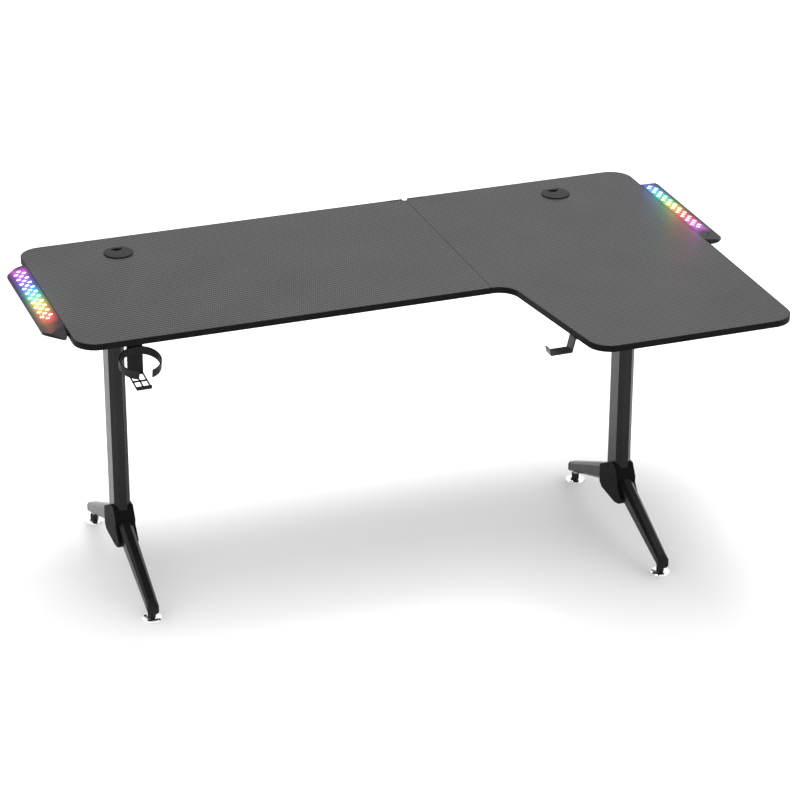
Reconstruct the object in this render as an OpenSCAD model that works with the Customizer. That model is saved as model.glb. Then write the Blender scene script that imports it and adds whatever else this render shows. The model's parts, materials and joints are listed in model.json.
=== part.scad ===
// Corner desk with two parallel T legs, RGB side lights, cup holder and headset hook.
// Units are millimetres. +X is the long side, +Y points to the rear edge, +Z is up.
// The origin is on the floor, below the centre of the whole desk.

/* [Desktop] */
// Length of the rear edge
desk_w = 1600; // [1560:10:1680]
// Depth of the left board
left_d = 600; // [580:10:640]
// Depth of the right board with its wing
wing_d = 1000; // [980:10:1100]
// Length of the left board, from the left edge to the joint
left_w = 1000; // [980:5:1010]
// Height of the working surface above the floor
desk_h = 750; // [730:5:790]
// Thickness of the boards
top_t = 15; // [14:1:18]
// Distance from the joint to the inner corner of the wing
corner_run = 44; // [44:1:60]
// How far the inner edge of the wing leans in over its length
wing_lean = 57; // [50:1:70]
// Radius of the outer corners
corner_r = 55; // [40:1:60]
// Radius of the inner corner
inner_r = 48; // [40:1:48]
// Thickness of the edge moulding
band_t = 2; // [1:0.5:3]

/* [Cable grommets] */
// Distance of each grommet from its side edge and from the rear edge
grommet_pos = [229, 100];
// Bore of the board and outer diameter of the sleeve
grommet_d = 60; // [55:1:65]
// Outer diameter of the flange
grommet_flange_d = 72; // [70:1:80]
// Width of the cable slot in the cap
grommet_slot_w = 28; // [20:1:32]

/* [Side lights] */
// How far a light bar stands out from the board
light_w = 53; // [50:1:60]
// Rear end of the light bars, measured from the rear edge
light_y0 = 95; // [90:1:120]
// Length of the left light bar
light_l = 430; // [420:1:440]
// Drop of the top face from the board to the outer edge
light_drop = 9; // [4:1:10]
// Windows along the middle row
window_n = 11; // [9:1:12]
// Size of a window across its corners
window_d = 12; // [9:0.5:12.5]
// Pitch of the windows along a row
window_pitch = 28.6; // [26:0.1:29]

/* [Legs] */
// Distance of the left leg from the left edge
left_leg_x = 156; // [150:1:170]
// Distance of the right leg from the right edge
right_leg_x = 210; // [200:1:230]
// Size of the post across and along the leg
post_size = [40, 70];
// Chamfer of the post
post_ch = 11; // [8:1:12]
// Distance from the post axis to a levelling foot
foot_reach = 265; // [250:1:275]
// Diameter of a levelling foot
pad_d = 50; // [40:1:52]
// Travel of a levelling foot below its shortest setting
pad_travel = 12; // [8:1:12]

/* [Accessories] */
// Inner radius of the cup ring
cup_r = 46; // [42:1:48]
// Width of the cup holder's back plate and tray
cup_plate_w = 37; // [34:1:40]
// Width of the headset hook
hook_w = 30; // [26:1:34]

/* [Hidden] */
$fn = 48;
seam_gap = 1.4;
film_t = 0.5;
wall = 1.5;

board_z = desk_h - top_t;
rear_y = wing_d / 2;
left_x = -desk_w / 2;
seam_x = left_x + left_w;
front_y = rear_y - left_d;
wing_y = rear_y - wing_d;
right_x = desk_w / 2;
wing_x1 = seam_x + corner_run;
wing_x2 = wing_x1 + wing_lean;

leg_l = [left_x + left_leg_x, rear_y - left_d / 2];
leg_r = [right_x - right_leg_x, rear_y - wing_d / 2];

// cable notch and moulding clips where the joint meets the rear edge
notch_w = 14;
notch_d = 11;
clip_l = 42;
clip_d = 8;

// steel under-frame: two arms along Y, two rails along X
arm_w = 50;
arm_h = 25;
arm_z = board_z - arm_h;
arm_l_len = left_d - 220;
arm_r_len = wing_d - 220;
rail_front_y = front_y + 150;
rail_rear_y = rear_y - 150;
rail_plate_t = 4;
plate_t = 4;
post_top = arm_z - plate_t;
post_bottom = 112;
core_wall = 3;
core_fit = 0.5;
core_top = 235;
root_y = post_size[1] / 2;

// foot bars: centre heights and sizes [width, height, chamfer] at the root and at the tip
bar_root_y = root_y + 2;
bar_end_y = 271.5;
bar_tip_y = 282;
bar_root = [34, 50, 9];
bar_tip = [27, 27, 5];
bar_root_z = 135;
bar_tip_z = 34;

// levelling feet
pad_dome = 9;
stem_d = 8;
stem_base_l = 22;
nut_d = 21;
nut_z = [9.6, 20.6];
insert_d = 12;
insert_h = 14;

// hub covers
hub_w = 50;
hub_gap = 0.4;

// cup holder
cup_t = 3;
cup_plate_t = 5;
cup_h = 21;
cup_y = front_y + 70;
cup_x = left_x + 147;
cup_ring_z = board_z - 54;
cup_ring_tilt = 14;
cup_tray_tilt = 5;
cup_plate_h = 104;
cup_tray_l = 74;
cup_open_from = 252;
cup_open_to = 290;
cup_screw_xs = [-10, 10];
cup_screw_y = 20;

// headset hook
hook_t = 4;
hook_y = wing_y + 115;
hook_drop = 32;
hook_arm = 47;
hook_lean = 8;
hook_lip = 10;
hook_flange = 55;
hook_screw_xs = [20, 42];

screw_head_d = 8;
screw_d = 4;
pilot_depth = 10;

black = [0.05, 0.05, 0.055];
steel_black = [0.12, 0.12, 0.125];
carbon = [0.3, 0.3, 0.31];
chrome = [0.85, 0.86, 0.88];
wood = [0.62, 0.5, 0.36];

// ---------- outlines ----------

function unit(v) = v / norm(v);
function cross2(a, b) = a[0] * b[1] - a[1] * b[0];

// Points of one corner p between a and b, rounded with radius r
function corner_points(a, p, b, r, n = 12) =
    r <= 0 ? [p] :
    let (
        u = unit(a - p),
        v = unit(b - p),
        half = acos(u * v) / 2,
        centre = p + unit(u + v) * r / sin(half),
        start = p + u * r / tan(half) - centre,
        turn = (180 - 2 * half) * sign(cross2(u, v)) * -1
    )
    [for (i = [0:n]) let (t = turn * i / n)
        centre + [start[0] * cos(t) - start[1] * sin(t), start[0] * sin(t) + start[1] * cos(t)]];

// A closed outline with each corner rounded by its own radius
function rounded(pts, radii) =
    let (n = len(pts))
    [for (i = [0:n - 1]) each corner_points(pts[(i + n - 1) % n], pts[i], pts[(i + 1) % n], radii[i])];

// Point where the line p, u meets the line q, v
function meet(p, u, q, v) = p + u * cross2(q - p, v) / cross2(u, v);

// The outline moved inwards; inset[i] is for the edge from point i to point i + 1, clockwise
function shrink(pts, inset) =
    let (
        n = len(pts),
        dirs = [for (i = [0:n - 1]) unit(pts[(i + 1) % n] - pts[i])],
        base = [for (i = [0:n - 1]) pts[i] + [dirs[i][1], -dirs[i][0]] * inset[i]]
    )
    [for (i = [0:n - 1]) let (h = (i + n - 1) % n) meet(base[h], dirs[h], base[i], dirs[i])];

left_pts = [[left_x, front_y], [left_x, rear_y], [seam_x, rear_y], [seam_x, front_y]];
left_edges = [1, 1, 0, 1];
left_radii = [corner_r, corner_r, 0, 0];

right_pts = [
    [seam_x, front_y], [seam_x, rear_y], [right_x, rear_y], [right_x, wing_y],
    [wing_x2, wing_y], [wing_x1, front_y]
];
right_edges = [0, 1, 1, 1, 1, 1];
right_radii = [0, 0, corner_r, corner_r, corner_r, -inner_r];

// Outline of a board, moved in by t on its outer edges and by g at the joint
module board_outline(pts, edges, radii, t, g) {
    inset = [for (e = edges) e == 1 ? t : g];
    turned = [for (r = radii) r == 0 ? 0 : r > 0 ? r - t : -r + t];
    polygon(rounded(shrink(pts, inset), turned));
}

module rear_notch() {
    translate([seam_x - notch_w / 2, rear_y - notch_d, board_z - 1])
        cube([notch_w, notch_d + 1, top_t + 2]);
}

module rear_clip_pockets() {
    for (side = [-1, 1])
        translate([seam_x + side * (notch_w / 2 + clip_l / 2), rear_y - clip_d / 2 + 1, board_z + top_t / 2])
            cube([clip_l, clip_d + 2, top_t + 2], center = true);
}

grommet_xs = [left_x + grommet_pos[0], right_x - grommet_pos[0]];
grommet_y = rear_y - grommet_pos[1];

module grommet_bores() {
    for (x = grommet_xs)
        translate([x, grommet_y, board_z - 1]) cylinder(d = grommet_d, h = top_t + 2);
}

dowel_ys = [rear_y - 70, rear_y - 220, rear_y - 380, rear_y - 530];
dowel_d = 8;
dowel_l = 60;

module dowels(d, l) {
    for (y = dowel_ys)
        translate([seam_x - l / 2, y, board_z + top_t / 2]) rotate([0, 90, 0]) cylinder(d = d, h = l);
}

// Pilot holes in the underside of the boards, one for each screw
module pilot_holes() {
    for (y = joint_plate_ys, x = joint_screw_xs)
        translate([seam_x + x, y, board_z - 1]) cylinder(d = screw_d, h = pilot_depth + 1);
    for (side = [-1, 1], y = tab_ys)
        at_side(side) translate([tab_screw_x, y, board_z - 1]) cylinder(d = screw_d, h = pilot_depth + 1);
    for (a = [[leg_l, arm_l_len], [leg_r, arm_r_len]], y = arm_screw_ys(a[0][1], a[1]))
        translate([a[0][0], y, board_z - 1]) cylinder(d = 6, h = pilot_depth + 1);
    for (x = cup_screw_xs)
        translate([cup_x + x, cup_y + cup_screw_y, board_z - 1]) cylinder(d = screw_d, h = pilot_depth + 1);
    for (x = hook_screw_xs)
        translate([hook_x + x, hook_y, board_z - 1]) cylinder(d = screw_d, h = pilot_depth + 1);
}

// ---------- desktop ----------

module board(pts, edges, radii) {
    color(wood)
    difference() {
        translate([0, 0, board_z]) linear_extrude(top_t - film_t)
            board_outline(pts, edges, radii, band_t, seam_gap / 2);
        grommet_bores();
        dowels(dowel_d, dowel_l + 2);
        pilot_holes();
        rear_notch();
        rear_clip_pockets();
    }
}

module left_board() board(left_pts, left_edges, left_radii);
module right_board() board(right_pts, right_edges, right_radii);

module film(pts, edges, radii) {
    color(carbon)
    difference() {
        translate([0, 0, desk_h - film_t]) linear_extrude(film_t)
            board_outline(pts, edges, radii, band_t, seam_gap / 2);
        grommet_bores();
        rear_notch();
        rear_clip_pockets();
    }
}

module left_film() film(left_pts, left_edges, left_radii);
module right_film() film(right_pts, right_edges, right_radii);

module edge_moulding(pts, edges, radii) {
    color(black)
    difference() {
        translate([0, 0, board_z]) linear_extrude(top_t)
            difference() {
                board_outline(pts, edges, radii, 0, seam_gap / 2);
                board_outline(pts, edges, radii, band_t, -1);
            }
        rear_notch();
        rear_clip_pockets();
    }
}

module left_edge_moulding() edge_moulding(left_pts, left_edges, left_radii);
module right_edge_moulding() edge_moulding(right_pts, right_edges, right_radii);

module rear_moulding_clips() {
    color(black)
    for (side = [-1, 1])
        translate([seam_x + side * (notch_w / 2 + clip_l / 2), rear_y - clip_d / 2, board_z + top_t / 2])
            cube([clip_l, clip_d, top_t], center = true);
}

module joint_dowels() {
    color(wood) dowels(dowel_d, dowel_l);
}

joint_plate = [120, 40, 2.5];
joint_plate_ys = [rear_y - 45, rear_y - 300, rear_y - 555];
joint_screw_xs = [-48, -22, 22, 48];

module joint_plates() {
    color(steel_black)
    for (y = joint_plate_ys)
        difference() {
            translate([seam_x, y, board_z - joint_plate[2] / 2]) cube(joint_plate, center = true);
            for (x = joint_screw_xs)
                translate([seam_x + x, y, board_z - joint_plate[2] - 1])
                    cylinder(d = screw_d, h = joint_plate[2] + 2);
        }
}

// A pan-head screw driven upwards, its head below z = 0
module screw_up(d, length, head_d, head_h) {
    translate([0, 0, -head_h]) cylinder(d = d, h = head_h + length);
    translate([0, 0, -head_h]) cylinder(d = head_d, h = head_h);
}

module joint_plate_screws() {
    color(chrome)
    for (y = joint_plate_ys, x = joint_screw_xs)
        translate([seam_x + x, y, board_z - joint_plate[2]])
            screw_up(screw_d, joint_plate[2] + pilot_depth, screw_head_d, 2.5);
}

// ---------- grommets ----------

sleeve_wall = 2;
flange_t = 1.2;
cap_fit_d = grommet_d - 2 * sleeve_wall;
cap_gap = 0.35;

module grommet_sleeve(x) {
    color(black)
    translate([x, grommet_y, 0])
    difference() {
        union() {
            translate([0, 0, board_z]) cylinder(d = grommet_d, h = top_t);
            translate([0, 0, desk_h]) cylinder(d = grommet_flange_d, h = flange_t);
        }
        translate([0, 0, board_z - 1]) cylinder(d = cap_fit_d, h = top_t + 3);
    }
}

// The cap turns in the sleeve; its slot opens at the rear rim
module grommet_cap(x) {
    color(black)
    translate([x, grommet_y, 0])
    difference() {
        union() {
            translate([0, 0, desk_h + flange_t + cap_gap]) cylinder(d = grommet_flange_d - 2, h = 1.6);
            translate([0, 0, desk_h - 9]) cylinder(d = cap_fit_d - 2 * cap_gap, h = 9 + flange_t + cap_gap);
        }
        translate([0, 0, desk_h - 10]) cylinder(d = cap_fit_d - 5, h = 11.1);
        hull() {
            translate([0, grommet_flange_d * 0.3, desk_h - 10])
                cylinder(d = grommet_slot_w, h = 20, $fn = 32);
            translate([0, grommet_flange_d * 0.7, desk_h - 10])
                cylinder(d = grommet_slot_w, h = 20, $fn = 32);
        }
    }
}

module left_grommet_sleeve() grommet_sleeve(grommet_xs[0]);
module right_grommet_sleeve() grommet_sleeve(grommet_xs[1]);
module left_grommet_cap() grommet_cap(grommet_xs[0]);
module right_grommet_cap() grommet_cap(grommet_xs[1]);

// ---------- side lights ----------
// Drawn with x running outwards from the board edge and y forwards from the rear end.

light_bottom = board_z - 5;
light_undercut = 9;
light_rim_z = board_z + 1;
light_wall = 2.2;
light_join = board_z;
window_col = 10;
window_mid = 23;
window_y0 = 28;
left_nose_l = 60;
left_nose_drop = 13;
right_nose_l = 17;
right_nose_drop = 9;
right_light_short = 28;
tab_l = 26;
tab_w = 30;
tab_t = 3;
tab_ys = [60, 210, 360];
tab_screw_x = -15;
button_d = 7;
button_at = [28, 359];
button_top = desk_h - light_drop * button_at[0] / light_w + 0.8;

// Outline of a light bar of length l: each cut is the [depth, length] of the corner cut at that end
function light_outline(l, cut_rear, cut_front) = [
    [0, 0],
    [light_w - cut_rear[0], 0],
    [light_w, cut_rear[1]],
    [light_w, l - cut_front[1]],
    [light_w - cut_front[0], l],
    [0, l - cut_front[2]]
];

left_light_pts = light_outline(light_l, [30, 30], [44, 50, 27]);
left_light_r = [0, 22, 22, 8, 4, 0];
right_light_pts = light_outline(light_l - right_light_short, [4, 10], [16, 16, 0]);
right_light_r = [0, 3, 6, 18, 14, 0];

// The slanting space under the top face, moved in by t
module light_slope(t) {
    rotate([90, 0, 0]) translate([0, 0, -light_l - 1]) linear_extrude(light_l + 2)
        polygon([
            [-1, light_bottom + t], [light_w + 1, light_bottom + t],
            [light_w + 1, desk_h - light_drop - t], [-1, desk_h - t + light_drop / light_w]
        ]);
}

// The space under the sloping nose, moved in by t. The nose is at the front end of the left bar
// and at the rear end of the right bar.
module light_nose(side, t) {
    nose_l = side < 0 ? left_nose_l : right_nose_l;
    nose_drop = side < 0 ? left_nose_drop : right_nose_drop;
    translate([0, side < 0 ? 0 : light_l, 0]) mirror([0, side < 0 ? 0 : 1, 0])
        translate([-1, 0, 0]) rotate([90, 0, 90]) linear_extrude(light_w + 2)
            polygon([
                [-1, light_bottom - 1], [light_l + 1, light_bottom - 1],
                [light_l + 1, desk_h - nose_drop - t], [light_l - nose_l, desk_h - t],
                [light_l - nose_l, desk_h + 2], [-1, desk_h + 2]
            ]);
}

// Outline of a bar moved in by t, and by t and the undercut on all edges but the one at the board
module light_section(pts, radii, t, undercut) {
    n = len(pts);
    turned = [for (i = [0:n - 1]) pts[n - 1 - i]];
    inset = [for (i = [0:n - 1]) i == n - 1 ? t : t + undercut];
    polygon(rounded(shrink(turned, inset), [for (i = [0:n - 1]) max(0, radii[n - 1 - i] - t - undercut)]));
}

module light_body(pts, radii, side, t) {
    intersection() {
        hull() {
            translate([0, 0, light_bottom + t]) linear_extrude(0.1)
                light_section(pts, radii, t, light_undercut);
            translate([0, 0, light_rim_z + t / 2]) linear_extrude(20) light_section(pts, radii, t, 0);
        }
        light_slope(t);
        light_nose(side, t);
    }
}

// Hexagonal prisms in a middle row and two staggered outer rows
module window_grid(d, h, z) {
    for (row = [-1, 0, 1], i = [0:window_n - (row == 0 ? 1 : 2)])
        translate([window_mid + row * window_col, window_y0 + (i + abs(row) / 2) * window_pitch, z])
            rotate([0, 0, 30]) cylinder(d = d, h = h, $fn = 6);
}

// Put a bar drawn outwards from x = 0 against the left (side = -1) or the right (side = 1) edge
module at_side(side) {
    translate([side * right_x, rear_y - light_y0, 0]) mirror([side < 0 ? 1 : 0, 0, 0])
        mirror([0, 1, 0]) children();
}

module light_cover(pts, radii, side) {
    color(steel_black)
    at_side(side)
    difference() {
        light_body(pts, radii, side, 0);
        light_body(pts, radii, side, light_wall);
        translate([-1, -1, light_bottom - 1]) cube([light_w + 2, light_l + 2, light_join - light_bottom + 1]);
        window_grid(window_d, 40, light_join);
        if (side > 0)
            translate([button_at[0], button_at[1], light_join]) cylinder(d = button_d + 0.6, h = 40);
    }
}

module light_base(pts, radii, side) {
    color(black)
    at_side(side)
    difference() {
        union() {
            difference() {
                light_body(pts, radii, side, 0);
                light_body(pts, radii, side, light_wall);
                translate([-1, -1, light_join]) cube([light_w + 2, light_l + 2, 40]);
            }
            for (y = tab_ys)
                translate([-tab_l, y - tab_w / 2, board_z - tab_t]) cube([tab_l + light_wall, tab_w, tab_t]);
        }
        for (y = tab_ys)
            translate([tab_screw_x, y, board_z - tab_t - 1]) cylinder(d = screw_d, h = tab_t + 2);
    }
}

// Translucent strip with one raised hexagonal lens in each window
module light_diffuser(side) {
    strip_z = board_z + 2;
    color("white", 0.8)
    at_side(side)
    intersection() {
        union() {
            translate([window_mid - 19, window_y0 - 9, strip_z])
                cube([38, window_pitch * (window_n - 1) + 18, 1.5]);
            window_grid(window_d - 0.6, 14, strip_z);
        }
        light_slope(0.4);
    }
}

module light_board(pts, radii, side) {
    board_top = light_bottom + light_wall + 2.4;
    board_l = window_pitch * (window_n - 1) + (side > 0 ? 60 : 24);
    color([0.1, 0.35, 0.18])
    at_side(side) {
        intersection() {
            translate([window_mid - 17, window_y0 - 9, board_top - 1.6]) cube([34, board_l, 1.6]);
            translate([0, 0, light_bottom]) linear_extrude(20)
                light_section(pts, radii, light_wall + 0.5, light_undercut);
        }
        window_grid(5, 1.6, board_top);
        if (side > 0)
            translate([button_at[0] - 3, button_at[1] - 3, board_top]) cube([6, 6, 1.7]);
    }
}

module left_light_cover() light_cover(left_light_pts, left_light_r, -1);
module left_light_base() light_base(left_light_pts, left_light_r, -1);
module left_light_diffuser() light_diffuser(-1);
module left_light_board() light_board(left_light_pts, left_light_r, -1);
module right_light_cover() light_cover(right_light_pts, right_light_r, 1);
module right_light_base() light_base(right_light_pts, right_light_r, 1);
module right_light_diffuser() light_diffuser(1);
module right_light_board() light_board(right_light_pts, right_light_r, 1);

module light_mode_button() {
    color(black)
    at_side(1)
    translate([button_at[0], button_at[1], button_top]) {
        translate([0, 0, -8.5]) cylinder(d = button_d, h = 8.5);
        translate([0, 0, -6]) cylinder(d = button_d + 3, h = 1.5);
    }
}

module light_screws() {
    color(chrome)
    for (side = [-1, 1], y = tab_ys)
        at_side(side) translate([tab_screw_x, y, board_z - tab_t])
            screw_up(screw_d, tab_t + pilot_depth, screw_head_d, 2.5);
}

// ---------- under-frame ----------

module tube_y(x, y0, y1, w, z0, h) {
    difference() {
        translate([x - w / 2, y0, z0]) cube([w, y1 - y0, h]);
        translate([x - w / 2 + wall, y0 - 1, z0 + wall]) cube([w - 2 * wall, y1 - y0 + 2, h - 2 * wall]);
    }
}

post_plate = [50, 144];
post_plate_holes = [[-14, -58], [14, -58], [-14, 58], [14, 58]];
arm_screw_inset = 30;

function arm_screw_ys(y, len) = [y - len / 2 + arm_screw_inset, y + len / 2 - arm_screw_inset];

module arm(leg, len) {
    color(steel_black)
    difference() {
        tube_y(leg[0], leg[1] - len / 2, leg[1] + len / 2, arm_w, arm_z, arm_h);
        for (p = post_plate_holes)
            translate([leg[0] + p[0], leg[1] + p[1], arm_z - 1]) cylinder(d = 8, h = 4);
        for (y = arm_screw_ys(leg[1], len))
            translate([leg[0], y, arm_z - 1]) cylinder(d = 6, h = arm_h + 2);
        for (y = [rail_front_y, rail_rear_y], s = [-1, 1])
            translate([leg[0] - arm_w, y + s * rail_bolt_y, arm_z + arm_h / 2]) rotate([0, 90, 0])
                cylinder(d = 6, h = 2 * arm_w);
    }
}

module left_arm() arm(leg_l, arm_l_len);
module right_arm() arm(leg_r, arm_r_len);

rail_x0 = leg_l[0] + arm_w / 2;
rail_x1 = leg_r[0] - arm_w / 2;
rail_plate_l = 76;
rail_bolt_y = 31;

module rail(y) {
    color(steel_black)
    difference() {
        translate([rail_x0 + rail_plate_t, y - arm_w / 2, arm_z])
            cube([rail_x1 - rail_x0 - 2 * rail_plate_t, arm_w, arm_h]);
        translate([rail_x0, y - arm_w / 2 + wall, arm_z + wall])
            cube([rail_x1 - rail_x0, arm_w - 2 * wall, arm_h - 2 * wall]);
    }
}

module rail_end_plates() {
    color(steel_black)
    for (y = [rail_front_y, rail_rear_y], x = [rail_x0, rail_x1 - rail_plate_t])
        difference() {
            translate([x, y - rail_plate_l / 2, arm_z]) cube([rail_plate_t, rail_plate_l, arm_h]);
            for (s = [-1, 1])
                translate([x - 1, y + s * rail_bolt_y, arm_z + arm_h / 2]) rotate([0, 90, 0])
                    cylinder(d = 6, h = rail_plate_t + 2);
        }
}

module front_rail() rail(rail_front_y);
module rear_rail() rail(rail_rear_y);

// Bolts that hold the rails to the inner walls of the arms, heads on the rail side
module rail_bolts() {
    color(chrome)
    for (y = [rail_front_y, rail_rear_y], s = [-1, 1], end = [0, 1])
        translate([
            end == 0 ? rail_x0 + rail_plate_t : rail_x1 - rail_plate_t,
            y + s * rail_bolt_y,
            arm_z + arm_h / 2
        ])
            rotate([0, end == 0 ? -90 : 90, 0]) screw_up(6, rail_plate_t + wall + 8, 10, 3.5);
}

module arm_screws() {
    color(chrome)
    for (a = [[leg_l, arm_l_len], [leg_r, arm_r_len]], y = arm_screw_ys(a[0][1], a[1]))
        translate([a[0][0], y, arm_z]) screw_up(6, arm_h + pilot_depth, 11, 3);
}

// ---------- legs ----------

module post_section(w, d, ch) {
    polygon([
        [-w / 2, -d / 2 + ch], [-w / 2, d / 2 - ch], [-w / 2 + ch, d / 2], [w / 2 - ch, d / 2],
        [w / 2, d / 2 - ch], [w / 2, -d / 2 + ch], [w / 2 - ch, -d / 2], [-w / 2 + ch, -d / 2]
    ]);
}

bolt_zs = [128, 148];

module bar_bolt_holes(d, length) {
    for (z = bolt_zs, s = [-1, 1])
        translate([0, s * (root_y - length / 2), z]) rotate([90, 0, 0])
            cylinder(d = d, h = length + 20, center = true);
}

module post(leg) {
    color(steel_black)
    translate([leg[0], leg[1], 0])
    difference() {
        translate([0, 0, post_bottom]) linear_extrude(post_top - post_bottom)
            post_section(post_size[0], post_size[1], post_ch);
        translate([0, 0, post_bottom - 1]) linear_extrude(post_top - post_bottom + 2)
            post_section(post_size[0] - 2 * wall, post_size[1] - 2 * wall, post_ch - 0.6);
        bar_bolt_holes(8, 6);
    }
}

module left_post() post(leg_l);
module right_post() post(leg_r);

module post_top_plates() {
    color(steel_black)
    for (leg = [leg_l, leg_r])
        translate([leg[0], leg[1], post_top])
        difference() {
            translate([-post_plate[0] / 2, -post_plate[1] / 2, 0])
                cube([post_plate[0], post_plate[1], plate_t]);
            for (p = post_plate_holes)
                translate([p[0], p[1], -1]) cylinder(d = 8, h = plate_t + 2);
        }
}

module post_bolts() {
    color(chrome)
    for (leg = [leg_l, leg_r], p = post_plate_holes)
        translate([leg[0] + p[0], leg[1] + p[1], post_top]) screw_up(8, plate_t + wall + 8, 14, 4);
}

// Steel tube that stiffens the foot of the post and takes the bolts of the foot bars
module post_core(leg) {
    w = post_size[0] - 2 * wall - 2 * core_fit;
    d = post_size[1] - 2 * wall - 2 * core_fit;
    color(steel_black)
    translate([leg[0], leg[1], post_bottom])
    difference() {
        linear_extrude(core_top - post_bottom) post_section(w, d, post_ch - 0.6);
        translate([0, 0, -1]) linear_extrude(core_top - post_bottom + 2)
            post_section(w - 2 * core_wall, d - 2 * core_wall, post_ch - 2);
        translate([0, 0, -post_bottom]) bar_bolt_holes(8, 12);
    }
}

module left_post_core() post_core(leg_l);
module right_post_core() post_core(leg_r);

// One thin slice of a foot bar: a rectangle with chamfered edges, size [width, height, chamfer]
module bar_slice(y, z, size, shrink_by) {
    translate([0, y, z]) rotate([90, 0, 0]) linear_extrude(0.1, center = true)
        post_section(size[0] - 2 * shrink_by, size[1] - 2 * shrink_by, size[2] - shrink_by * 0.6);
}

// Closed shape of a bar from the post to its tip, made smaller all round
module bar_shape(shrink_by) {
    hull() {
        bar_slice(bar_root_y, bar_root_z, bar_root, shrink_by);
        bar_slice(bar_tip_y, bar_tip_z, bar_tip, shrink_by);
    }
}

module bar_part(y0, y1) {
    intersection() {
        bar_shape(0);
        translate([-50, y0, 0]) cube([100, y1 - y0, 200]);
    }
}

// The bar runs along +Y from the post; it is turned round for the front foot
module foot_bar() {
    difference() {
        bar_part(root_y, bar_end_y);
        intersection() {
            bar_shape(wall);
            translate([-50, root_y + 5, 0]) cube([100, 300, 200]);
        }
        translate([0, foot_reach, -1]) cylinder(d = insert_d, h = 40);
        for (z = bolt_zs)
            translate([0, root_y - 1, z]) rotate([-90, 0, 0]) cylinder(d = 8, h = 8);
    }
}

// Put a foot part at a leg, facing the front (dir = -1) or the rear (dir = 1)
module at_foot(leg, dir) {
    translate([leg[0], leg[1], 0]) mirror([0, dir < 0 ? 1 : 0, 0]) children();
}

module left_front_foot_bar() color(steel_black) at_foot(leg_l, -1) foot_bar();
module left_rear_foot_bar() color(steel_black) at_foot(leg_l, 1) foot_bar();
module right_front_foot_bar() color(steel_black) at_foot(leg_r, -1) foot_bar();
module right_rear_foot_bar() color(steel_black) at_foot(leg_r, 1) foot_bar();

module each_foot() {
    for (leg = [leg_l, leg_r], dir = [-1, 1])
        at_foot(leg, dir) children();
}

module foot_bar_bolts() {
    color(chrome)
    each_foot()
        for (z = bolt_zs)
            translate([0, root_y + 5, z]) rotate([90, 0, 0])
                screw_up(8, 5 + wall + core_fit + core_wall + 3, 13, 5);
}

module foot_end_caps() {
    color(black)
    each_foot()
        bar_part(bar_end_y, bar_tip_y + 1);
}

// Threaded bush in the floor of the bar
module foot_inserts() {
    color(chrome)
    each_foot()
        translate([0, foot_reach, nut_z[1]])
        difference() {
            cylinder(d = insert_d, h = insert_h);
            translate([0, 0, -1]) cylinder(d = stem_d + 0.1, h = insert_h + 2);
        }
}

module foot_lock_nuts() {
    color(steel_black)
    each_foot()
        translate([0, foot_reach, nut_z[0]])
        difference() {
            cylinder(d = nut_d, h = nut_z[1] - nut_z[0], $fn = 6);
            translate([0, 0, -1]) cylinder(d = stem_d + 0.1, h = 20);
        }
}

// Levelling foot: flat sole, domed skirt and threaded stem
module pad() {
    color(chrome) {
        rotate_extrude()
            polygon(concat(
                [[0, 0], [pad_d / 2 - 1, 0], [pad_d / 2, 1], [pad_d / 2, 3]],
                [for (i = [1:6]) let (t = i * 15)
                    [8 + (pad_d / 2 - 8) * cos(t), 3 + (pad_dome - 3) * sin(t)]],
                [[0, pad_dome]]
            ));
        translate([0, 0, pad_dome - 1]) cylinder(d = stem_d, h = stem_base_l + pad_travel);
    }
}

module left_front_pad() at_foot(leg_l, -1) translate([0, foot_reach, 0]) pad();
module left_rear_pad() at_foot(leg_l, 1) translate([0, foot_reach, 0]) pad();
module right_front_pad() at_foot(leg_r, -1) translate([0, foot_reach, 0]) pad();
module right_rear_pad() at_foot(leg_r, 1) translate([0, foot_reach, 0]) pad();

// Side view of the moulded cover at the foot of a post, y to the rear
hub_profile = [
    [-48, 158], [-48, 141], [-72, 112], [-61, 94], [-36, 88], [44, 92], [58, 102], [58, 150],
    [38, 162], [-8, 187], [-30, 187]
];

module hub_cover(leg) {
    color(black)
    translate([leg[0], leg[1], 0])
    difference() {
        rotate([90, 0, 90]) linear_extrude(hub_w, center = true) polygon(hub_profile);
        // room for the post, its foot and the two bars
        translate([0, 0, post_bottom]) linear_extrude(120)
            post_section(post_size[0] + 2 * hub_gap, post_size[1] + 2 * hub_gap, post_ch);
        for (dir = [0, 1])
            mirror([0, dir, 0]) bar_shape(-hub_gap);
        bar_bolt_holes(9, 12);
        // sloping front corners
        for (s = [0, 1])
            mirror([s, 0, 0]) translate([hub_w / 2 - 6, -80, 150]) rotate([0, 0, -30]) cube([30, 50, 60]);
    }
}

module left_hub_cover() hub_cover(leg_l);
module right_hub_cover() hub_cover(leg_r);

// ---------- accessories ----------

cup_tray_z = board_z - cup_plate_h;

cup_ring_y = -cup_r - cup_plate_t;

// C-shaped ring about z = 0, open towards the front
module cup_ring() {
    difference() {
        cylinder(r = cup_r + cup_t, h = cup_h, center = true);
        cylinder(r = cup_r, h = cup_h + 2, center = true);
        linear_extrude(cup_h + 2, center = true)
            polygon(concat([[0, 0]], [for (i = [0:4])
                let (t = cup_open_from + (cup_open_to - cup_open_from) * i / 4) 90 * [cos(t), sin(t)]]));
    }
}

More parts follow.
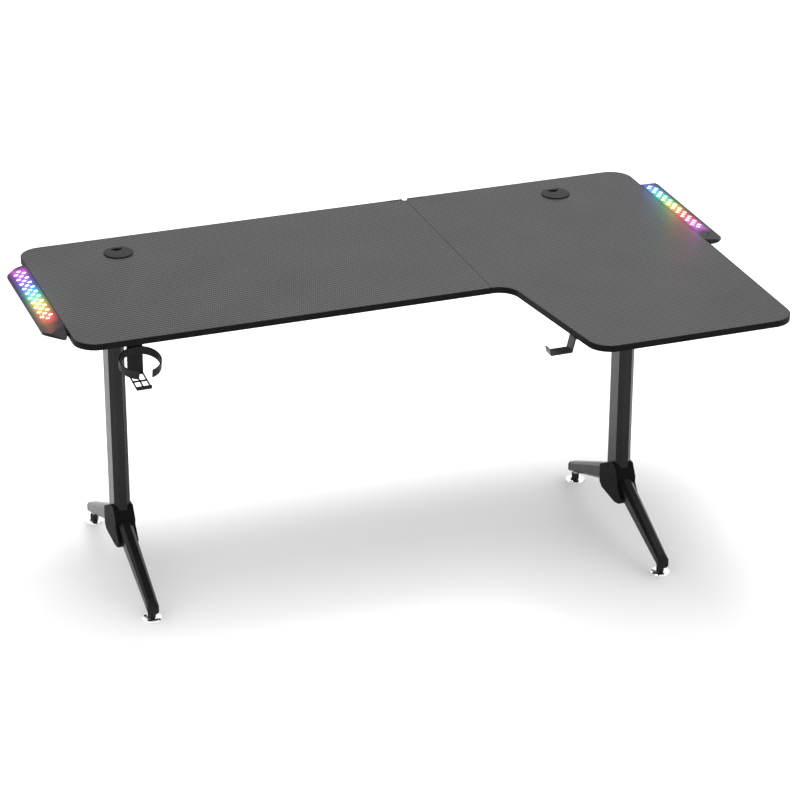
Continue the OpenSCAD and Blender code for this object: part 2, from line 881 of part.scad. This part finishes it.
// Flat tray with four openings and a lip, its rear edge on y = 0
module cup_tray() {
    w = cup_plate_w - 1;
    cell = [(w - 9) / 2, (cup_tray_l - 14) / 2];
    difference() {
        rotate([90, 0, 90]) linear_extrude(w, center = true)
            polygon([
                [0, 0], [0, cup_t], [-cup_tray_l, cup_t], [-cup_tray_l, 9],
                [-cup_tray_l - cup_t, 9], [-cup_tray_l - cup_t, 0]
            ]);
        for (i = [0, 1], j = [0, 1])
            translate([-w / 2 + 3 + i * (cell[0] + 3), -cup_tray_l + 4 + j * (cell[1] + 4), -1])
                cube([cell[0], cell[1], cup_t + 2]);
    }
}

// Ring, back plate, tray and screw flange in one moulding
module cup_holder() {
    color(black)
    translate([cup_x, cup_y, 0]) {
        translate([-cup_plate_w / 2, -cup_plate_t, cup_tray_z]) cube([cup_plate_w, cup_plate_t, cup_plate_h]);
        difference() {
            translate([-cup_plate_w / 2, -cup_t, board_z - cup_t]) cube([cup_plate_w, 36, cup_t]);
            for (x = cup_screw_xs)
                translate([x, cup_screw_y, board_z - cup_t - 1]) cylinder(d = screw_d, h = cup_t + 2);
        }
        translate([0, cup_ring_y, cup_ring_z]) rotate([cup_ring_tilt, 0, 0]) cup_ring();
        translate([0, -cup_plate_t / 2, cup_tray_z + 1]) rotate([cup_tray_tilt, 0, 0]) cup_tray();
    }
}

module cup_holder_screws() {
    color(chrome)
    for (x = cup_screw_xs)
        translate([cup_x + x, cup_y + cup_screw_y, board_z - cup_t])
            screw_up(screw_d, cup_t + pilot_depth, screw_head_d, 2.5);
}

hook_x = wing_x1 + wing_lean * (front_y - hook_y) / (wing_d - left_d);
hook_end = -hook_lean - hook_arm;

// Side view of the bent part, x towards the wing, y up from the underside of the board
hook_profile = [
    [0, 0], [-hook_lean, -hook_drop], [hook_end + 1, -hook_drop], [hook_end - 2, -hook_drop + hook_lip],
    [hook_end - 6, -hook_drop + hook_lip], [hook_end - 3, -hook_drop - hook_t],
    [-hook_lean + 3, -hook_drop - hook_t], [hook_t, 0]
];

module headset_hook() {
    color(black)
    translate([hook_x, hook_y, board_z])
    difference() {
        union() {
            translate([0, -hook_w / 2, -hook_t]) cube([hook_flange, hook_w, hook_t]);
            rotate([90, 0, 0]) linear_extrude(hook_w, center = true) polygon(hook_profile);
        }
        for (x = hook_screw_xs)
            translate([x, 0, -hook_t - 1]) cylinder(d = screw_d, h = hook_t + 2);
    }
}

module headset_hook_screws() {
    color(chrome)
    for (x = hook_screw_xs)
        translate([hook_x + x, hook_y, board_z - hook_t])
            screw_up(screw_d, hook_t + pilot_depth, screw_head_d, 2.5);
}

left_board();
right_board();
left_film();
right_film();
left_edge_moulding();
right_edge_moulding();
rear_moulding_clips();
joint_dowels();
joint_plates();
joint_plate_screws();
left_grommet_sleeve();
right_grommet_sleeve();
left_grommet_cap();
right_grommet_cap();
left_light_cover();
left_light_base();
left_light_diffuser();
left_light_board();
right_light_cover();
right_light_base();
right_light_diffuser();
right_light_board();
light_mode_button();
light_screws();
left_arm();
right_arm();
front_rail();
rear_rail();
rail_end_plates();
rail_bolts();
arm_screws();
left_post();
right_post();
post_top_plates();
post_bolts();
left_post_core();
right_post_core();
left_front_foot_bar();
left_rear_foot_bar();
right_front_foot_bar();
right_rear_foot_bar();
foot_bar_bolts();
foot_end_caps();
foot_inserts();
foot_lock_nuts();
left_hub_cover();
right_hub_cover();
left_front_pad();
left_rear_pad();
right_front_pad();
right_rear_pad();
cup_holder();
cup_holder_screws();
headset_hook();
headset_hook_screws();
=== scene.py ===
import json
from math import radians

import bpy
from mathutils import Matrix, Vector


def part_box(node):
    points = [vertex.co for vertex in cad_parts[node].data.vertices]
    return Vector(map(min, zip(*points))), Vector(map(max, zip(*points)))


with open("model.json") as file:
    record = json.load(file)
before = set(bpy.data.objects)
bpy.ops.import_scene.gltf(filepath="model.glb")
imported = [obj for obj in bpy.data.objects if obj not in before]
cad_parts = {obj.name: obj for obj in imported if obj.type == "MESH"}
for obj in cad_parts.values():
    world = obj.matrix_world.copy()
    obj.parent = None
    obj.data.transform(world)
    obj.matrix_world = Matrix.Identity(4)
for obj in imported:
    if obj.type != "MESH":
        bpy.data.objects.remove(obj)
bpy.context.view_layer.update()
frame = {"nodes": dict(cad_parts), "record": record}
nodes = frame["nodes"]
scene = bpy.context.scene

MM = 0.001


# ---------- camera ----------

CAMERA_AT = (-2.249, -6.1586, 3.5808)
CAMERA_HEADING = 20.119
CAMERA_PITCH = 25.561
CAMERA_ROLL = 0.171
CAMERA_LENS = 136.14


def add_camera():
    data = bpy.data.cameras.new("camera")
    data.lens = CAMERA_LENS
    data.sensor_width = 36.0
    data.clip_end = 100.0
    camera = bpy.data.objects.new("camera", data)
    turn = (
        Matrix.Rotation(radians(-CAMERA_HEADING), 4, "Z")
        @ Matrix.Rotation(radians(90.0 - CAMERA_PITCH), 4, "X")
        @ Matrix.Rotation(radians(CAMERA_ROLL), 4, "Z")
    )
    camera.matrix_world = Matrix.Translation(CAMERA_AT) @ turn
    scene.collection.objects.link(camera)
    scene.camera = camera


add_camera()


# ---------- materials ----------

class Surface:
    """A node material built around one Principled shader, in object coordinates."""

    def __init__(self, name, color, roughness, metallic=0.0, **sockets):
        self.material = bpy.data.materials.new(name)
        self.material.use_nodes = True
        self.tree = self.material.node_tree
        self.shader = self.tree.nodes["Principled BSDF"]
        self.shader.inputs["Base Color"].default_value = (*color, 1.0)
        self.shader.inputs["Roughness"].default_value = roughness
        self.shader.inputs["Metallic"].default_value = metallic
        for socket, value in sockets.items():
            self.shader.inputs[socket.replace("_", " ")].default_value = value
        self.coords = self.node("ShaderNodeTexCoord").outputs["Object"]

    def node(self, kind, **props):
        made = self.tree.nodes.new(kind)
        for prop, value in props.items():
            setattr(made, prop, value)
        return made

    def feed(self, socket, value):
        if isinstance(value, bpy.types.NodeSocket):
            self.tree.links.new(value, socket)
        else:
            socket.default_value = value

    def math(self, operation, a, b=0.0):
        made = self.node("ShaderNodeMath", operation=operation)
        for socket, value in zip(made.inputs, (a, b)):
            self.feed(socket, value)
        return made.outputs[0]

    def axes(self):
        split = self.node("ShaderNodeSeparateXYZ")
        self.feed(split.inputs[0], self.coords)
        return split.outputs[0], split.outputs[1], split.outputs[2]

    def stretched(self, scale):
        mapping = self.node("ShaderNodeMapping")
        self.feed(mapping.inputs["Vector"], self.coords)
        mapping.inputs["Scale"].default_value = scale
        return mapping.outputs[0]

    def noise(self, scale, detail=2.0, roughness=0.5, vector=None):
        made = self.node("ShaderNodeTexNoise")
        self.feed(made.inputs["Vector"], vector or self.coords)
        made.inputs["Scale"].default_value = scale
        made.inputs["Detail"].default_value = detail
        made.inputs["Roughness"].default_value = roughness
        return made.outputs["Fac"]

    def cells(self, scale, vector=None):
        made = self.node("ShaderNodeTexVoronoi")
        self.feed(made.inputs["Vector"], vector or self.coords)
        made.inputs["Scale"].default_value = scale
        return made

    def ramp(self, factor, *stops):
        made = self.node("ShaderNodeValToRGB")
        self.feed(made.inputs[0], factor)
        elements = made.color_ramp.elements
        while len(elements) < len(stops):
            elements.new(0.5)
        for element, (place, color) in zip(elements, stops):
            element.position = place
            element.color = (*color, 1.0)
        return made.outputs["Color"]

    def range(self, factor, low, high, start=0.0, end=1.0):
        made = self.node("ShaderNodeMapRange")
        self.feed(made.inputs["Value"], factor)
        made.inputs["From Min"].default_value = start
        made.inputs["From Max"].default_value = end
        made.inputs["To Min"].default_value = low
        made.inputs["To Max"].default_value = high
        return made.outputs[0]

    def color(self, value):
        self.feed(self.shader.inputs["Base Color"], value)
        return self

    def roughness(self, value):
        self.feed(self.shader.inputs["Roughness"], value)
        return self

    def bump(self, height, distance, strength=1.0):
        made = self.node("ShaderNodeBump")
        made.inputs["Strength"].default_value = strength
        made.inputs["Distance"].default_value = distance
        self.feed(made.inputs["Height"], height)
        self.feed(self.shader.inputs["Normal"], made.outputs[0])
        return self


def grey(value):
    return (value, value, value * 1.02)


def carbon_film():
    """Embossed film with a twill weave: each tow passes over two others, stepping one along per row."""
    s = Surface("carbon_film", grey(0.026), 0.5, Specular_IOR_Level=0.17)
    tow = 3.7 * MM
    repeat = 4.0
    x, y, _ = s.axes()
    u = s.math("DIVIDE", x, tow)
    v = s.math("DIVIDE", y, tow)
    step = s.math("FLOORED_MODULO", s.math("ADD", s.math("FLOOR", u), s.math("FLOOR", v)), repeat)
    warp = s.math("LESS_THAN", step, 1.5)
    fu = s.math("SUBTRACT", s.math("FRACT", u), 0.5)
    fv = s.math("SUBTRACT", s.math("FRACT", v), 0.5)
    weft = s.math("SUBTRACT", 1.0, warp)
    across = s.math("ADD", s.math("MULTIPLY", warp, fu), s.math("MULTIPLY", weft, fv))
    # crown: the round of each tow; it drives the bump and is also painted into the colour as painted shade,
    # lighter on the crown and darker at the flanks
    crown = s.math("COSINE", s.math("MULTIPLY", across, 2.6))
    fibres = s.math("SINE", s.math("MULTIPLY", across, 40.0))
    height = s.math("ADD", crown, s.math("MULTIPLY", fibres, 0.05))
    # colour: tows of one direction are lighter, each tow carries painted shade from its crown, and noise
    # mottles the tone
    weave_and_painted_shade = s.math("ADD", s.math("MULTIPLY", warp, 0.42), s.math("MULTIPLY", crown, 0.42))
    weave_mottle_and_painted_shade = s.math("ADD", weave_and_painted_shade, s.math("MULTIPLY", s.noise(7.0, 3.0), 0.16))
    s.color(s.ramp(weave_mottle_and_painted_shade, (0.2, grey(0.008)), (0.55, grey(0.026)), (0.98, grey(0.064))))
    s.roughness(s.range(weave_mottle_and_painted_shade, 0.56, 0.44))
    return s.bump(height, 0.0003, 0.5).material


def edge_plastic():
    s = Surface("edge_plastic", grey(0.005), 0.5, Specular_IOR_Level=0.06)
    s.color(s.ramp(s.noise(40.0, 4.0), (0.3, grey(0.003)), (0.75, grey(0.007))))
    s.roughness(s.range(s.noise(18.0, 3.0), 0.42, 0.58))
    return s.bump(s.noise(900.0, 3.0), 0.0001, 0.4).material


def particle_board():
    """Pressed wood chips, with a dark film on the underside and a dark edge band at the joint."""
    s = Surface("particle_board", (0.5, 0.38, 0.24), 0.85)
    chips = s.cells(420.0, vector=s.stretched((1.0, 0.45, 1.0)))
    tones = ((0.0, (0.62, 0.48, 0.3)), (0.5, (0.42, 0.3, 0.17)), (1.0, (0.26, 0.17, 0.09)))
    wood = s.ramp(chips.outputs["Distance"], *tones)
    film = s.ramp(s.noise(50.0, 4.0), (0.3, grey(0.02)), (0.7, grey(0.035)))
    x, _, z = s.axes()
    film_t = 0.2 * MM
    band_reach = 1.5 * MM
    seam = (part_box("left_board")[1][0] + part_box("right_board")[0][0]) / 2
    above = s.math("GREATER_THAN", z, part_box("left_board")[0][2] + film_t)
    beside = s.math("GREATER_THAN", s.math("ABSOLUTE", s.math("SUBTRACT", x, seam)), band_reach)
    bare = s.math("MULTIPLY", above, beside)
    shown = s.node("ShaderNodeMix", data_type="RGBA")
    s.feed(shown.inputs["Factor"], bare)
    s.feed(shown.inputs["A"], film)
    s.feed(shown.inputs["B"], wood)
    s.color(shown.outputs["Result"])
    return s.bump(chips.outputs["Distance"], 0.0004, 0.7).material


def beech():
    s = Surface("beech", (0.6, 0.42, 0.24), 0.6)
    grain = s.noise(260.0, 6.0, 0.6, s.stretched((0.08, 1.0, 1.0)))
    s.color(s.ramp(grain, (0.3, (0.42, 0.27, 0.14)), (0.7, (0.7, 0.52, 0.32))))
    return s.bump(grain, 0.0002, 0.5).material


def powder_coat():
    """Satin black coat on steel, with the faint orange peel of a sprayed finish."""
    s = Surface("powder_coat", grey(0.008), 0.26, Specular_IOR_Level=0.2)
    s.color(s.ramp(s.noise(6.0, 5.0), (0.3, grey(0.005)), (0.75, grey(0.011))))
    s.roughness(s.range(s.noise(35.0, 4.0), 0.22, 0.32))
    return s.bump(s.noise(1100.0, 2.0), 0.00012, 0.35).material


def zinc():
    s = Surface("zinc", (0.55, 0.56, 0.58), 0.36, 1.0)
    spangle = s.cells(300.0)
    s.color(s.ramp(spangle.outputs["Distance"], (0.0, (0.62, 0.63, 0.65)), (1.0, (0.46, 0.47, 0.5))))
    s.roughness(s.range(s.noise(240.0, 4.0), 0.26, 0.46))
    return s.bump(s.noise(700.0, 3.0), 0.00008, 0.4).material


def moulded(name, low, high, roughness, specular=0.3, grain=1300.0, depth=0.00012):
    s = Surface(name, grey((low + high) / 2), roughness, Specular_IOR_Level=specular)
    s.color(s.ramp(s.noise(28.0, 4.0), (0.3, grey(low)), (0.72, grey(high))))
    s.roughness(s.range(s.noise(60.0, 3.0), roughness - 0.06, roughness + 0.08))
    return s.bump(s.cells(grain).outputs["Distance"], depth, 0.5).material


def circuit_green():
    s = Surface("circuit_green", (0.02, 0.13, 0.05), 0.3)
    tracks = s.node("ShaderNodeTexBrick")
    s.feed(tracks.inputs["Vector"], s.coords)
    tracks.inputs["Scale"].default_value = 120.0
    tracks.inputs["Color1"].default_value = (0.015, 0.12, 0.045, 1.0)
    tracks.inputs["Color2"].default_value = (0.02, 0.15, 0.06, 1.0)
    tracks.inputs["Mortar"].default_value = (0.05, 0.24, 0.1, 1.0)
    s.color(tracks.outputs["Color"])
    return s.bump(tracks.outputs["Fac"], 0.00005, 0.4).material


def polished_chrome():
    s = Surface("polished_chrome", (0.86, 0.87, 0.89), 0.06, 1.0)
    s.color(s.ramp(s.noise(30.0, 3.0), (0.3, (0.82, 0.83, 0.86)), (0.7, (0.92, 0.93, 0.95))))
    s.roughness(s.range(s.noise(90.0, 5.0), 0.04, 0.13))
    return s.bump(s.noise(500.0, 2.0), 0.00002, 0.3).material


def rainbow(s, along, stops):
    """The hue of the light at this place along a bar: y runs from along[0] to along[1]."""
    _, y, _ = s.axes()
    return s.ramp(s.range(y, 0.0, 1.0, *along), *stops)


def rainbow_lens(name, along, stops):
    """Milky lens lit from below."""
    s = Surface(name, (0.9, 0.92, 0.95), 0.25)
    pale = s.node("ShaderNodeMix", data_type="RGBA")
    pale.inputs["Factor"].default_value = 0.14
    s.feed(pale.inputs["A"], rainbow(s, along, stops))
    pale.inputs["B"].default_value = (1.0, 1.0, 1.0, 1.0)
    s.feed(s.shader.inputs["Emission Color"], pale.outputs["Result"])
    s.feed(s.shader.inputs["Emission Strength"], s.range(s.noise(160.0, 2.0), 1.3, 2.0, 0.3, 0.7))
    return s.bump(s.noise(600.0, 2.0), 0.00005, 0.3).material


def housing_painted_glow(name, along, stops, middle, reach):
    """Dark plastic with a painted glow: the coloured light of the lenses painted on as emission close to the
    lenses.
    """
    s = Surface(name, grey(0.01), 0.45, Specular_IOR_Level=0.12)
    s.color(s.ramp(s.noise(28.0, 4.0), (0.3, grey(0.008)), (0.72, grey(0.014))))
    x, y, _ = s.axes()
    off = s.math("ABSOLUTE", s.math("SUBTRACT", x, middle))
    beside = s.range(off, 1.0, 0.0, reach * 0.35, reach)
    start = s.range(y, 1.0, 0.0, along[0] - 6 * MM, along[0] + 14 * MM)
    end = s.range(y, 0.0, 1.0, along[1] - 26 * MM, along[1] + 8 * MM)
    # painted glow: emission strongest beside the lens and fading towards the ends, standing in for the lens
    # light falling on the housing
    glow = s.math("MULTIPLY", s.math("MULTIPLY", beside, beside), s.math("MULTIPLY", start, end))
    s.feed(s.shader.inputs["Emission Color"], rainbow(s, along, stops))
    s.feed(s.shader.inputs["Emission Strength"], s.math("MULTIPLY", glow, 0.7))
    return s.bump(s.cells(1300.0).outputs["Distance"], 0.0001, 0.5).material


# where the lenses start at the rear and end at the front
ALONG = (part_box("left_light_diffuser")[1][1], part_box("left_light_diffuser")[0][1])

MAGENTA = (0.85, 0.12, 0.95)
VIOLET = (0.4, 0.1, 1.0)
BLUE = (0.08, 0.2, 1.0)
CYAN = (0.05, 0.75, 1.0)
GREEN = (0.12, 1.0, 0.25)
YELLOW = (1.0, 0.85, 0.08)
ORANGE = (1.0, 0.35, 0.03)
RED = (1.0, 0.06, 0.05)
PINK = (1.0, 0.1, 0.35)

LEFT_HUES = [
    (0.02, MAGENTA), (0.16, VIOLET), (0.32, BLUE), (0.46, CYAN),
    (0.56, GREEN), (0.68, YELLOW), (0.82, ORANGE), (0.96, RED),
]
RIGHT_HUES = [
    (0.02, BLUE), (0.18, CYAN), (0.36, GREEN), (0.48, YELLOW),
    (0.58, ORANGE), (0.68, RED), (0.8, PINK), (0.96, MAGENTA),
]

finishes = {
    "board": particle_board(),
    "film": carbon_film(),
    "edge": edge_plastic(),
    "dowel": beech(),
    "black_steel": powder_coat(),
    "plated_steel": zinc(),
    "black_plastic": moulded("black_plastic", 0.004, 0.01, 0.5, 0.16),
    "hub_plastic": moulded("hub_plastic", 0.002, 0.006, 0.6, 0.06),
    "circuit_board": circuit_green(),
    "chrome": polished_chrome(),
}


def middle_x(node):
    low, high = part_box(node)
    return (low[0] + high[0]) / 2


# how far the painted glow on the housing reaches from the middle of the lens
PAINTED_GLOW_REACH = 32 * MM
HUES_OF_SIDE = {"left": LEFT_HUES, "right": RIGHT_HUES}

finish_of_node = {}
for side, hues in HUES_OF_SIDE.items():
    lens_middle = middle_x(side + "_light_diffuser")
    finish_of_node[side + "_light_diffuser"] = rainbow_lens(side + "_lens", ALONG, hues)
    finish_of_node[side + "_light_cover"] = housing_painted_glow(side + "_housing", ALONG, hues, lens_middle, PAINTED_GLOW_REACH)

NO_BEVEL = {
    "left_film", "right_film", "left_board", "right_board",
    "left_light_diffuser", "right_light_diffuser",
}


def finish_nodes():
    """Gives every CAD node its material and breaks its sharp edges."""
    for part in frame["record"]["subparts"]:
        name = part["node"]
        obj = nodes[name]
        material = finish_of_node.get(name) or finishes[part["material_slot"]]
        obj.data.materials.clear()
        obj.data.materials.append(material)
        if name in NO_BEVEL:
            continue
        bevel = obj.modifiers.new("bevel", "BEVEL")
        bevel.width = 0.7 * MM
        bevel.segments = 2
        bevel.limit_method = "ANGLE"
        bevel.angle_limit = radians(28.0)


finish_nodes()


# ---------- studio ----------

def area_light(name, at, target, size, power):
    data = bpy.data.lights.new(name, "AREA")
    data.shape = "DISK"
    data.size = size
    data.energy = power
    lamp = bpy.data.objects.new(name, data)
    lamp.location = at
    lamp.rotation_euler = (Vector(target) - Vector(at)).to_track_quat("-Z", "Y").to_euler()
    scene.collection.objects.link(lamp)


def add_floor():
    half = 15.0
    mesh = bpy.data.meshes.new("floor")
    corners = [(-half, -half, 0), (half, -half, 0), (half, half, 0), (-half, half, 0)]
    mesh.from_pydata(corners, [], [(0, 1, 2, 3)])
    floor = bpy.data.objects.new("floor", mesh)
    scene.collection.objects.link(floor)
    s = Surface("floor_white", (0.9, 0.9, 0.9), 0.7)
    s.color(s.ramp(s.noise(0.6, 2.0), (0.3, (0.89, 0.89, 0.89)), (0.7, (0.91, 0.91, 0.91))))
    mesh.materials.append(s.material)


def add_world():
    world = bpy.data.worlds.new("studio")
    world.use_nodes = True
    sky = world.node_tree.nodes["Background"]
    sky.inputs["Color"].default_value = (1.0, 1.0, 1.0, 1.0)
    sky.inputs["Strength"].default_value = 1.16
    scene.world = world
    scene.view_settings.view_transform = "Standard"


def glow_lights():
    """Small lamps over the light bars that throw their colours on the housing and the desk edge."""
    power = 0.04
    above_lens = 18 * MM
    for side, hues in HUES_OF_SIDE.items():
        low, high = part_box(side + "_light_diffuser")
        for along, color in hues:
            data = bpy.data.lights.new(side + "_glow", "POINT")
            data.energy = power
            data.color = color
            data.shadow_soft_size = 12 * MM
            lamp = bpy.data.objects.new(side + "_glow", data)
            lamp.location = ((low[0] + high[0]) / 2, high[1] + along * (low[1] - high[1]), high[2] + above_lens)
            scene.collection.objects.link(lamp)


add_floor()
add_world()
glow_lights()
area_light("key", (0.75, 0.9, 3.9), (0.1, 0.0, 0.0), 1.6, 70.0)
area_light("top", (-0.6, 0.2, 5.2), (0.0, 0.0, 0.0), 3.4, 90.0)
